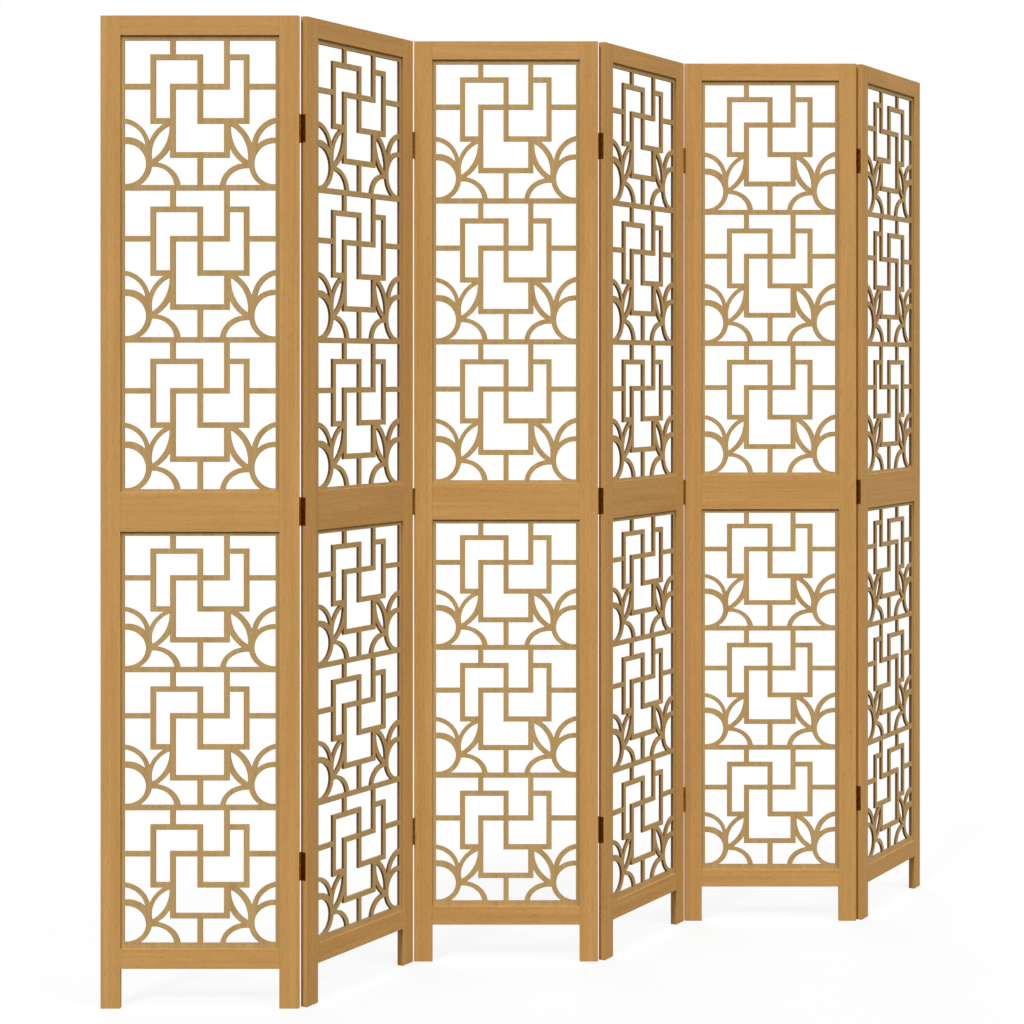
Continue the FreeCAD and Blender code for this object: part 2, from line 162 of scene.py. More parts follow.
class Graph:
    """A node tree with one way to add a node."""

    def __init__(self, tree: bpy.types.NodeTree) -> None:
        """Start on a tree that may hold nodes already."""
        self.tree = tree

    def add(self, kind: str, settings: dict[str, object] | None = None,
            inputs: Inputs | None = None) -> bpy.types.Node:
        """Add a node, make its settings and then fill its sockets.

        Args:
            kind: The node's type.
            settings: Properties of the node, or a ramp's places and grey levels as "stops".
            inputs: Values or links by socket name or number. A list links all its members.

        Returns:
            The new node.
        """
        node = self.tree.nodes.new(kind)
        for name, value in (settings or {}).items():
            if name == "stops":
                self._set_stops(node.color_ramp, value)
            else:
                setattr(node, name, value)
        for key, value in (inputs or {}).items():
            for member in value if isinstance(value, list) else [value]:
                self._fill(node.inputs[key], member)
        return node

    def _fill(self, socket: bpy.types.NodeSocket, value: object) -> None:
        """Link or set one socket.

        Args:
            socket: The socket.
            value: What it gets.
        """
        source = value.socket if isinstance(value, Signal) else value
        if isinstance(source, bpy.types.NodeSocket):
            self.tree.links.new(source, socket)
        else:
            socket.default_value = source

    @staticmethod
    def _set_stops(ramp: bpy.types.ColorRamp, stops: list[Point]) -> None:
        """Give a ramp its grey stops.

        Args:
            ramp: The ramp.
            stops: Place and level of each stop.
        """
        while len(ramp.elements) < len(stops):
            ramp.elements.new(1.0)
        for element, (place, level) in zip(ramp.elements, stops):
            element.position = place
            element.color = grey(level)

    def signal(self, node: bpy.types.Node, output: str | int = 0) -> Signal:
        """Wrap one output of a node."""
        return Signal(self, node.outputs[output])

    def ramp(self, value: Signal, low: float, high: float,
             floor: float = 0.0, top: float = 1.0) -> Signal:
        """Stretch a value between two levels.

        Args:
            value: The value.
            low: Where the result is at its floor.
            high: Where the result is at its top.
            floor: The lowest result.
            top: The highest result.

        Returns:
            The stretched value.
        """
        stops = {"stops": [(low, floor), (high, top)]}
        return self.signal(self.add("ShaderNodeValToRGB", stops, {0: value}))

    def noise(self, place: object, size: float, detail: float, distortion: float = 0.0) -> Signal:
        """Make noise, about one half on average.

        Args:
            place: Coordinates.
            size: Size of its patches.
            detail: Finer layers.
            distortion: How far the patches wander.

        Returns:
            The noise.
        """
        inputs = {"Vector": place, "Scale": 1 / size, "Detail": detail, "Distortion": distortion}
        return self.signal(self.add("ShaderNodeTexNoise", None, inputs), "Fac")

    def blend(self, share: object, first: object, second: object,
              mode: str = "MIX") -> bpy.types.NodeSocket:
        """Blend two colours.

        Args:
            share: How much of the second colour shows.
            first: Colour or socket.
            second: Colour or socket.
            mode: Blend mode.

        Returns:
            The blended colour's socket.
        """
        settings = {"data_type": "RGBA", "blend_type": mode}
        colours = {0: share, BLEND_FIRST: first, BLEND_SECOND: second}
        return self.add("ShaderNodeMix", settings, colours).outputs[BLEND_RESULT]

    def mixed(self, share: object, first: bpy.types.NodeSocket, second: bpy.types.NodeSocket
              ) -> bpy.types.NodeSocket:
        """Mix two shaders by the share of the second."""
        inputs = {0: share, 1: first, 2: second}
        return self.add("ShaderNodeMixShader", None, inputs).outputs[0]

    def vector(self, x: object = 0.0, y: object = 0.0, z: object = 0.0) -> bpy.types.NodeSocket:
        """Join three values into a vector's socket."""
        return self.add("ShaderNodeCombineXYZ", None, {0: x, 1: y, 2: z}).outputs[0]

    def block(self, size: bpy.types.NodeSocket) -> bpy.types.NodeSocket:
        """Make a block round the origin."""
        return self.add("GeometryNodeMeshCube", None, {"Size": size}).outputs[0]

    def moved(self, shape: bpy.types.NodeSocket, offset: bpy.types.NodeSocket
              ) -> bpy.types.NodeSocket:
        """Move a geometry."""
        inputs = {"Geometry": shape, "Translation": offset}
        return self.add("GeometryNodeTransform", None, inputs).outputs[0]

    def united(self, solids: list[bpy.types.NodeSocket], crossing: bool = False
               ) -> bpy.types.NodeSocket:
        """Join solids into one.

        Args:
            solids: The solids.
            crossing: Whether one of them may cross itself.

        Returns:
            The joined solid.
        """
        exact = {"operation": "UNION", "solver": "EXACT"}
        inputs = {1: solids, "Self Intersection": crossing}
        return self.add("GeometryNodeMeshBoolean", exact, inputs).outputs[0]

    def cut(self, solid: bpy.types.NodeSocket, tools: list[bpy.types.NodeSocket]
            ) -> bpy.types.NodeSocket:
        """Take solids away from another."""
        exact = {"operation": "DIFFERENCE", "solver": "EXACT"}
        return self.add("GeometryNodeMeshBoolean", exact, {0: solid, 1: tools}).outputs[0]


class Recipe:
    """A Geometry Nodes tree with named inputs."""

    def __init__(self, name: str, sizes: dict[str, str]) -> None:
        """Start a tree.

        Args:
            name: The tree's name.
            sizes: The kind of each input socket by its name.
        """
        self.tree = bpy.data.node_groups.new(name, "GeometryNodeTree")
        self.graph = Graph(self.tree)
        interface = self.tree.interface
        interface.new_socket("Geometry", in_out="INPUT", socket_type="NodeSocketGeometry")
        interface.new_socket("Geometry", in_out="OUTPUT", socket_type="NodeSocketGeometry")
        for size, kind in sizes.items():
            interface.new_socket(size, in_out="INPUT", socket_type="NodeSocket" + kind)
        self.start = self.graph.add("NodeGroupInput")

    def size(self, name: str) -> Signal:
        """One of the tree's inputs."""
        return Signal(self.graph, self.start.outputs[name])

    def finish(self, shape: bpy.types.NodeSocket) -> None:
        """End the tree in Realize Instances and Set Material.

        Args:
            shape: The geometry to hand out.
        """
        real = self.graph.add("GeometryNodeRealizeInstances", None, {"Geometry": shape})
        inputs = {"Geometry": real.outputs[0], "Material": self.size("Material")}
        dressed = self.graph.add("GeometryNodeSetMaterial", None, inputs)
        self.graph.add("NodeGroupOutput", None, {"Geometry": dressed.outputs[0]})

    def apply(self, piece: bpy.types.Object, values: dict[str, object]) -> None:
        """Put the tree on an object as its first modifier.

        Args:
            piece: The object.
            values: The inputs by name.
        """
        modifier = piece.modifiers.new(self.tree.name, "NODES")
        modifier.node_group = self.tree
        for socket in self.tree.interface.items_tree:
            if socket.in_out == "INPUT" and socket.name in values:
                modifier[socket.identifier] = values[socket.name]


# Meshes


def new_piece(name: str, data: bpy.types.ID) -> bpy.types.Object:
    """Stand a mesh, a lamp or a camera in the scene as an object of its own.

    Args:
        name: The object's name.
        data: What it shows.

    Returns:
        The object.
    """
    piece = bpy.data.objects.new(name, data)
    bpy.context.scene.collection.objects.link(piece)
    return piece


def dress(piece: bpy.types.Object, material: bpy.types.Material) -> None:
    """Give an object one material in place of those that it has."""
    piece.data.materials.clear()
    piece.data.materials.append(material)


def set_shape(piece: bpy.types.Object) -> None:
    """Turn an object's live modifiers into its own plain mesh.

    Args:
        piece: The object.
    """
    graph = bpy.context.evaluated_depsgraph_get()
    graph.update()
    mesh = bpy.data.meshes.new_from_object(piece.evaluated_get(graph))
    mesh.name = piece.name
    piece.modifiers.clear()
    piece.data = mesh


def opened(mesh: bpy.types.Mesh) -> bmesh.types.BMesh:
    """Open a mesh for work, with its doubled corners merged.

    Args:
        mesh: The mesh.

    Returns:
        Its faces as they can be worked on.
    """
    work = bmesh.new()
    work.from_mesh(mesh)
    bmesh.ops.remove_doubles(work, verts=work.verts, dist=WELD)
    return work


def close(work: bmesh.types.BMesh, mesh: bpy.types.Mesh) -> None:
    """Write finished work into a mesh."""
    work.to_mesh(mesh)
    work.free()


def weld(mesh: bpy.types.Mesh, turn_out: bool = False) -> None:
    """Merge a mesh's doubled corners.

    Args:
        mesh: The mesh.
        turn_out: Whether its faces are turned outwards again, as after a mirror.
    """
    work = opened(mesh)
    if turn_out:
        bmesh.ops.recalc_face_normals(work, faces=work.faces)
    close(work, mesh)


def shade(mesh: bpy.types.Mesh, angle: float) -> None:
    """Shade a mesh smooth but for edges sharper than an angle."""
    mesh.shade_smooth()
    mesh.set_sharp_from_angle(angle=angle)


def islands(mesh: bpy.types.Mesh) -> list[list[Vector]]:
    """Split a mesh of loose triangles into its separate solids.

    Args:
        mesh: The mesh.

    Returns:
        The corners of each solid, in the order of the mesh.
    """
    work = opened(mesh)
    found = []
    for first in work.verts:
        if first.tag:
            continue
        first.tag = True
        border, corners = [first], []
        while border:
            corner = border.pop()
            corners.append(corner.co.copy())
            for edge in corner.link_edges:
                vertex = edge.other_vert(corner)
                if not vertex.tag:
                    vertex.tag = True
                    border.append(vertex)
        found.append(corners)
    work.free()
    return found


# Finishes


class Grain(Enum):
    """Which way the grain of a piece runs."""

    UPRIGHT = "upright"
    ACROSS = "across"


def bare_graph(owner: bpy.types.Material | bpy.types.World) -> Graph:
    """Start a material or a world with an empty tree.

    Args:
        owner: The material or the world.

    Returns:
        The graph of its tree.
    """
    owner.use_nodes = True
    owner.node_tree.nodes.clear()
    return Graph(owner.node_tree)


def new_material(name: str) -> tuple[bpy.types.Material, Graph, bpy.types.Node]:
    """Start a material with its principled shader.

    Args:
        name: The material's name.

    Returns:
        The material, its graph and its shader node.
    """
    material = bpy.data.materials.new(name)
    material.use_nodes = True
    return material, Graph(material.node_tree), material.node_tree.nodes["Principled BSDF"]


def finish_shader(graph: Graph, shader: bpy.types.Node, colour: bpy.types.NodeSocket,
                  gloss: Signal, relief: Inputs) -> None:
    """Link what varies over a surface to its shader.

    Args:
        graph: The material's graph.
        shader: The shader.
        colour: The base colour.
        gloss: The roughness.
        relief: The inputs of the bump.
    """
    bump = graph.add("ShaderNodeBump", None, relief)
    links = {"Base Color": colour, "Roughness": gloss.socket, "Normal": bump.outputs[0]}
    for name, socket in links.items():
        graph.tree.links.new(socket, shader.inputs[name])


@dataclass(frozen=True)
class Streaks:
    """Marks that are long along the grain, and their shares of its colour and relief."""

    width: float
    length: float
    detail: float
    wander: float = 0.0
    colour_share: float = 0.0
    relief_share: float = 0.0

    def noise(self, graph: Graph, place: bpy.types.NodeSocket) -> Signal:
        """Make the marks as stretched noise.

        Args:
            graph: The material's graph.
            place: Coordinates with the grain along their third axis.

        Returns:
            The noise, about one half on average.
        """
        scale = (1 / self.width, 1 / self.width, 1 / self.length)
        shrunk = graph.add("ShaderNodeVectorMath", {"operation": "MULTIPLY"}, {0: place, 1: scale})
        return graph.noise(shrunk.outputs[0], 1.0, self.detail, self.wander)


@dataclass(frozen=True)
class WoodFinish:
    """Stained wood with straight grain, at its real scale."""

    name: str
    light: Colour
    dark: Colour
    pore: Colour
    cut: Colour | None = None
    streaks: Streaks = Streaks(0.0055, 0.45, detail=2.0, wander=0.3,
                               colour_share=0.42, relief_share=0.4)
    fibres: Streaks = Streaks(0.0011, 0.055, detail=1.0, colour_share=0.22, relief_share=0.6)
    figure: Streaks = Streaks(0.021, 0.50, detail=1.0, wander=0.8, colour_share=0.36)
    pores: Streaks = Streaks(0.0007, 0.011, detail=0.0, colour_share=0.35, relief_share=-0.5)
    pore_range: Range = (0.64, 0.76)
    grain_range: Range = (0.36, 0.64)
    blotch_size: float = 0.16
    blotch_detail: float = 2.0
    blotch_range: Range = (0.3, 0.7)
    blotch_levels: Range = (0.97, 1.0)
    roughness: float = 0.68
    fibre_roughness: float = 0.16
    pore_roughness: float = 0.08
    shine: float = 0.15
    relief: float = 0.00010
    relief_strength: float = 0.5

    def _place(self, graph: Graph, heading: float, grain: Grain) -> bpy.types.NodeSocket:
        """Get coordinates across, through and along the grain of a panel's piece.

        Args:
            graph: The material's graph.
            heading: Angle of the panel's width from the X axis.
            grain: Which way the grain runs.

        Returns:
            The coordinates' socket.
        """
        coordinates = graph.add("ShaderNodeTexCoord")
        inputs = {"Vector": coordinates.outputs["Object"], "Rotation": (0, 0, -heading)}
        turned = graph.add("ShaderNodeMapping", {"vector_type": "POINT"}, inputs)
        if grain is Grain.UPRIGHT:
            return turned.outputs[0]
        parts = graph.add("ShaderNodeSeparateXYZ", None, {0: turned.outputs[0]})
        return graph.vector(parts.outputs[2], parts.outputs[1], parts.outputs[0])

    def material(self, heading: float, grain: Grain) -> bpy.types.Material:
        """Build the finish for the pieces of one heading and grain.

        Args:
            heading: Angle of the panel's width from the X axis.
            grain: Which way the grain runs.

        Returns:
            The material, made once for each heading and grain.
        """
        name = f"{self.name} {grain.value} {math.degrees(heading):+.0f}"
        if name in bpy.data.materials:
            return bpy.data.materials[name]
        material, graph, shader = new_material(name)
        place = self._place(graph, heading, grain)
        streaks, fibres = self.streaks.noise(graph, place), self.fibres.noise(graph, place)
        figure = self.figure.noise(graph, place)
        pores = graph.ramp(self.pores.noise(graph, place), *self.pore_range)
        clouds = graph.noise(place, self.blotch_size, self.blotch_detail)
        blotch = graph.ramp(clouds, *self.blotch_range, *self.blotch_levels)
        pattern = (self.streaks.colour_share * streaks + self.fibres.colour_share * fibres
                   + self.figure.colour_share * figure)
        colour = graph.blend(graph.ramp(pattern, *self.grain_range), self.light, self.dark)
        colour = graph.blend(pores * self.pores.colour_share, colour, self.pore)
        if self.cut is not None:
            attribute = {"attribute_type": "GEOMETRY", "attribute_name": CUT_MARK}
            cut = graph.signal(graph.add("ShaderNodeAttribute", attribute), "Fac")
            colour = graph.blend(cut, colour, graph.blend(fibres, self.cut, self.pore))
        colour = graph.blend(1.0, colour, blotch.socket, "MULTIPLY")
        gloss = (self.roughness + (fibres - NOISE_MEAN) * self.fibre_roughness
                 + pores * self.pore_roughness)
        height = (fibres * self.fibres.relief_share + streaks * self.streaks.relief_share
                  + pores * self.pores.relief_share)
        relief = {"Strength": self.relief_strength, "Distance": self.relief, "Height": height}
        finish_shader(graph, shader, colour, gloss, relief)
        shader.inputs["Specular IOR Level"].default_value = self.shine
        return material


@dataclass(frozen=True)
class BronzeFinish:
    """Antiqued bronze, a little worn and clouded."""

    name: str
    worn: Colour
    aged: Colour
    cloud_size: float = 0.006
    cloud_detail: float = 3.0
    cloud_share: float = 0.75
    speck_size: float = 0.0006
    speck_detail: float = 1.0
    aged_range: Range = (0.35, 0.65)
    roughness: float = 0.38
    aged_roughness: float = 0.15
    relief: float = 0.00004
    relief_strength: float = 0.4

    def material(self) -> bpy.types.Material:
        """Build the finish.

        Returns:
            The material, made once.
        """
        if self.name in bpy.data.materials:
            return bpy.data.materials[self.name]
        material, graph, shader = new_material(self.name)
        place = graph.add("ShaderNodeTexCoord").outputs["Object"]
        clouds = graph.noise(place, self.cloud_size, self.cloud_detail)
        specks = graph.noise(place, self.speck_size, self.speck_detail)
        pattern = self.cloud_share * clouds + (1 - self.cloud_share) * specks
        aged = graph.ramp(pattern, *self.aged_range)
        colour = graph.blend(aged, self.worn, self.aged)
        gloss = self.roughness + aged * self.aged_roughness
        relief = {"Strength": self.relief_strength, "Distance": self.relief, "Height": specks}
        finish_shader(graph, shader, colour, gloss, relief)
        shader.inputs["Metallic"].default_value = 1.0
        return material


# The screen's panels


@dataclass(frozen=True)
class Panel:
    """One panel's body and how it stands."""

    body: str
    heading: float

    @classmethod
    def from_body(cls, body: str) -> "Panel":
        """Measure a panel from its middle rail.

        Args:
            body: The name of the body.

        Returns:
            The panel.
        """
        points = [vertex.co for vertex in frame["nodes"][body + "_middle_rail"].data.vertices]
        centre = sum(points, Vector()) / len(points)
        xx = sum((point.x - centre.x) ** 2 for point in points)
        yy = sum((point.y - centre.y) ** 2 for point in points)
        xy = sum((point.x - centre.x) * (point.y - centre.y) for point in points)
        return cls(body, 0.5 * math.atan2(2 * xy, xx - yy))

    @property
    def along(self) -> Vector:
        """The direction of the panel's width."""
        return Vector((math.cos(self.heading), math.sin(self.heading), 0))

    @property
    def turn(self) -> Matrix:
        """The panel's turn about the upright axis."""
        return Matrix.Rotation(self.heading, 4, "Z")

    def has(self, piece: str) -> bool:
        """Whether the panel has a piece."""
        return f"{self.body}_{piece}" in frame["nodes"]

    def node(self, piece: str) -> bpy.types.Object:
        """The CAD node of one of the panel's pieces."""
        return frame["nodes"][f"{self.body}_{piece}"]

    def span(self, piece: str) -> tuple[Vector, Vector]:
        """Measure one piece in the panel's own frame.

        Args:
            piece: The piece's name.

        Returns:
            Its lowest and highest corner, across, through and up.
        """
        back = self.turn.inverted()
        points = [back @ vertex.co for vertex in self.node(piece).data.vertices]
        low = Vector([min(point[axis] for point in points) for axis in range(3)])
        high = Vector([max(point[axis] for point in points) for axis in range(3)])
        return low, high


@dataclass
class PanelFrames:
    """The stiles and rails, which keep their CAD shapes."""

    finish: WoodFinish = WoodFinish("frame wood", light=tone(199, 153, 91),
                                    dark=tone(185, 138, 78), pore=tone(137, 91, 44))
    upright: tuple[str, ...] = ("left_stile", "right_stile")
    across: tuple[str, ...] = ("top_rail", "middle_rail", "bottom_rail")

    def build(self, panels: list[Panel]) -> None:
        """Dress every frame, with the grain along each piece.

        Args:
            panels: The screen's panels.
        """
        for panel in panels:
            for piece in self.upright:
                dress(panel.node(piece), self.finish.material(panel.heading, Grain.UPRIGHT))
            for piece in self.across:
                dress(panel.node(piece), self.finish.material(panel.heading, Grain.ACROSS))
            log.info("%s: stiles and rails in %s", panel.body, self.finish.name)


def hand_over(piece: bpy.types.Object, panel: Panel, node: str) -> None:
    """Put a finished piece in place of a CAD node of its panel.

    Args:
        piece: The piece.
        panel: The panel it moves with.
        node: The piece's name in the panel.
    """
    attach(piece, panel.body)
    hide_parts(panel.node(node).name)
    log.info("%s: %d faces", piece.name, len(piece.data.polygons))


# The pierced boards


@dataclass(frozen=True)
class Outline:
    """A closed line in the plane of a board, across and up."""

    points: tuple[Point, ...]

    @classmethod
    def bar(cls, x0: float, x1: float, z0: float, z1: float) -> "Outline":
        """A rectangle between two places on each axis."""
        return cls(((x0, z0), (x1, z0), (x1, z1), (x0, z1)))

    @classmethod
    def oval(cls, x: float, z: float, half_width: float, half_height: float,
             steps: int) -> "Outline":
        """Draw an oval in equal steps.

        Args:
            x: Place of its centre across.
            z: Place of its centre up.
            half_width: Half its width.
            half_height: Half its height.
            steps: How many points it has.

        Returns:
            The oval.
        """
        turns = [2 * math.pi * (number + 0.5) / steps for number in range(steps)]
        return cls(tuple((x + half_width * math.cos(turn), z + half_height * math.sin(turn))
                         for turn in turns))

    def mirrored(self, width: float) -> "Outline":
        """The same line on the other side of a board."""
        return Outline(tuple((width - x, z) for x, z in self.points))

    def holds(self, x: float, z: float) -> bool:
        """Tell whether a point lies inside.

        Args:
            x: Place across.
            z: Place up.

        Returns:
            True inside the line.
        """
        inside = False
        for (x0, z0), (x1, z1) in zip(self.points, self.points[1:] + self.points[:1]):
            if (z0 > z) != (z1 > z) and x < x0 + (z - z0) * (x1 - x0) / (z1 - z0):
                inside = not inside
        return inside


@dataclass(frozen=True)
class Flower(Generic[Shape]):
    """The bud with its rim, the petal, the stem and the leaf in one lower corner of a tile.

    Of the petal's and the stem's shapes the first is the outer one. The leaf is what its two
    shapes share, and so is its hole.
    """

    bud: Shape
    rim: Shape
    petal: tuple[Shape, Shape]
    stem: tuple[Shape, Shape]
    leaf: tuple[Shape, Shape]
    leaf_hole: tuple[Shape, Shape]

    def changed(self, change: Callable[[Shape], Outline]) -> "Flower[Outline]":
        """Change every shape of the flower in one way.

        Args:
            change: What makes a line of each shape.

        Returns:
            The flower of those lines.
        """
        pairs = (self.petal, self.stem, self.leaf, self.leaf_hole)
        changed = [tuple(change(shape) for shape in pair) for pair in pairs]
        return Flower(change(self.bud), change(self.rim), *changed)

    @property
    def outlines(self) -> list[Shape]:
        """All its lines."""
        return [self.rim, *self.petal, *self.stem, *self.leaf, *self.leaf_hole, self.bud]

    def holds(self, x: float, z: float) -> bool:
        """Tell whether there is wood at a point.

        Args:
            x: Place across.
            z: Place up.

        Returns:
            True on the flower's strokes.
        """
        if self.bud.holds(x, z) or all(line.holds(x, z) for line in self.leaf_hole):
            return False
        bands = (self.petal, self.stem)
        if any(outer.holds(x, z) and not inner.holds(x, z) for outer, inner in bands):
            return True
        return all(line.holds(x, z) for line in self.leaf) or self.rim.holds(x, z)


@dataclass(frozen=True)
class LatticeTile:
    """One repeat of the lattice, with places as shares of its width and height.

    A flower's ovals are given by place across from the flower's own side, place up, half width
    and half height.
    """

    width: float
    height: float
    upright_stroke: float
    cross_stroke: float
    oval_steps: int = 72
    far_left_share: float = 0.204
    left_share: float = 0.328
    centre_share: float = 0.5
    right_share: float = 0.668
    far_right_share: float = 0.792
    sill_share: float = 0.2157
    lap_share: float = 0.4396
    waist_share: float = 0.6651
    head_share: float = 0.8584
    left_flower_shares: Flower[Oval] = Flower(
        bud=(0.0330, 0.1570, 0.1255, 0.1313),
        rim=(0.0429, 0.1651, 0.1531, 0.1677),
        petal=((0.0042, 0.2598, 0.1796, 0.1969), (0.0010, 0.2652, 0.1540, 0.1596)),
        stem=((0.2000, 0.0012, 0.1762, 0.1689), (0.2055, 0.0043, 0.1322, 0.1347)),
        leaf=((0.3944, 0.2199, 0.2300, 0.2392), (0.0781, 0.3911, 0.2668, 0.2696)),
        leaf_hole=((0.3875, 0.2252, 0.1940, 0.1996), (0.0814, 0.4038, 0.2263, 0.2539)),
    )
    right_flower_shares: Flower[Oval] = Flower(
        bud=(0.0344, 0.1588, 0.1246, 0.1349),
        rim=(0.0324, 0.1604, 0.1609, 0.1696),
        petal=((-0.0047, 0.2523, 0.1825, 0.2115), (-0.0058, 0.2537, 0.1486, 0.1750)),
        stem=((0.2130, 0.0014, 0.1629, 0.1600), (0.2036, 0.0076, 0.1365, 0.1215)),
        leaf=((0.3954, 0.2048, 0.2337, 0.2611), (0.0770, 0.3837, 0.2640, 0.2785)),
        leaf_hole=((0.3827, 0.2041, 0.1842, 0.2195), (0.0886, 0.3921, 0.2185, 0.2452)),
    )

    def _bars(self) -> list[Outline]:
        """Draw the straight strokes, with the foot's own and ends inside the next tile's.

        Returns:
            Their lines.
        """
        half_up, half_cross = self.upright_stroke / 2, self.cross_stroke / 2
        uprights = (
            (self.far_left_share, self.lap_share, self.head_share),
            (self.left_share, self.sill_share, self.waist_share),
            (self.left_share, self.head_share, 1),
            (self.centre_share, 0, self.sill_share),
            (self.centre_share, self.lap_share, self.head_share),
            (self.right_share, self.sill_share, self.lap_share),
            (self.right_share, self.waist_share, 1),
            (self.far_right_share, self.lap_share, self.head_share),
        )
        crosses = (
            (self.sill_share, self.left_share, self.right_share),
            (self.lap_share, self.far_left_share, self.left_share),
            (self.lap_share, self.centre_share, self.far_right_share),
            (self.waist_share, 0, self.far_left_share),
            (self.waist_share, self.left_share, self.right_share),
            (self.waist_share, self.far_right_share, 1),
            (self.head_share, self.far_left_share, self.centre_share),
            (self.head_share, self.right_share, self.far_right_share),
        )
        bars = [Outline.bar(0, self.width, -half_cross, half_cross)]
        for across, foot, head in uprights:
            x = across * self.width
            z0, z1 = foot * self.height - half_cross, head * self.height + half_cross
            bars.append(Outline.bar(x - half_up, x + half_up, z0, z1))
        for level, left, right in crosses:
            z = level * self.height
            x0 = max(0, left * self.width - half_up)
            x1 = min(self.width, right * self.width + half_up)
            bars.append(Outline.bar(x0, x1, z - half_cross, z + half_cross))
        return bars

    def _oval(self, shares: Oval) -> Outline:
        """One oval on the left side, in metres."""
        sides = (self.width, self.height) * 2
        return Outline.oval(*(share * side for share, side in zip(shares, sides)), self.oval_steps)

    def _right_oval(self, shares: Oval) -> Outline:
        """One oval on the right side, in metres."""
        return self._oval(shares).mirrored(self.width)

    def mesh(self) -> bpy.types.Mesh:
        """Make the tile's flat face, with its openings left out.

        Returns:
            A mesh in the plane of X and Z that faces away from the front.
        """
        bars = self._bars()
        left = self.left_flower_shares.changed(self._oval)
        right = self.right_flower_shares.changed(self._right_oval)
        overlap = self.cross_stroke / 2
        edge = Outline.bar(0, self.width, -overlap, self.height + overlap)
        inner = Outline.bar(0, self.width, 0, self.height)
        lines = [edge, inner, *bars, *left.outlines, *right.outlines]
        points, edges = [], []
        for line in lines:
            first, count = len(points), len(line.points)
            points.extend(Vector(point) for point in line.points)
            edges.extend((first + number, first + (number + 1) % count) for number in range(count))
        corners, _, faces, *_ = delaunay_2d_cdt(points, edges, [], 0, WELD)
        kept = []
        for face in faces:
            x, z = sum((corners[number] for number in face), Vector((0, 0))) / len(face)
            flower = inner.holds(x, z) and (left.holds(x, z) or right.holds(x, z))
            if edge.holds(x, z) and (flower or any(bar.holds(x, z) for bar in bars)):
                kept.append(face)
        return self._flat_mesh(corners, kept)

    @staticmethod
    def _flat_mesh(corners: list[Vector], faces: list[list[int]]) -> bpy.types.Mesh:
        """Make a mesh of a flat face's triangles.

        Args:
            corners: Places across and up.
            faces: The triangles' corners.

        Returns:
            The mesh.
        """
        work = bmesh.new()
        vertices = [work.verts.new((corner.x, 0, corner.y)) for corner in corners]
        for face in faces:
            work.faces.new([vertices[number] for number in reversed(face)])
        loose = [vertex for vertex in work.verts if not vertex.link_faces]
        bmesh.ops.delete(work, geom=loose, context="VERTS")
        bmesh.ops.remove_doubles(work, verts=work.verts, dist=CROWDED)
        mesh = bpy.data.meshes.new("lattice tile")
        close(work, mesh)
        return mesh


@dataclass(frozen=True)
class BoardSizes:
    """What differs between the upper and the lower board."""

    piece: str
    first_rise: float
    cross_stroke: float
    foot_margin: float
    head_margin: float


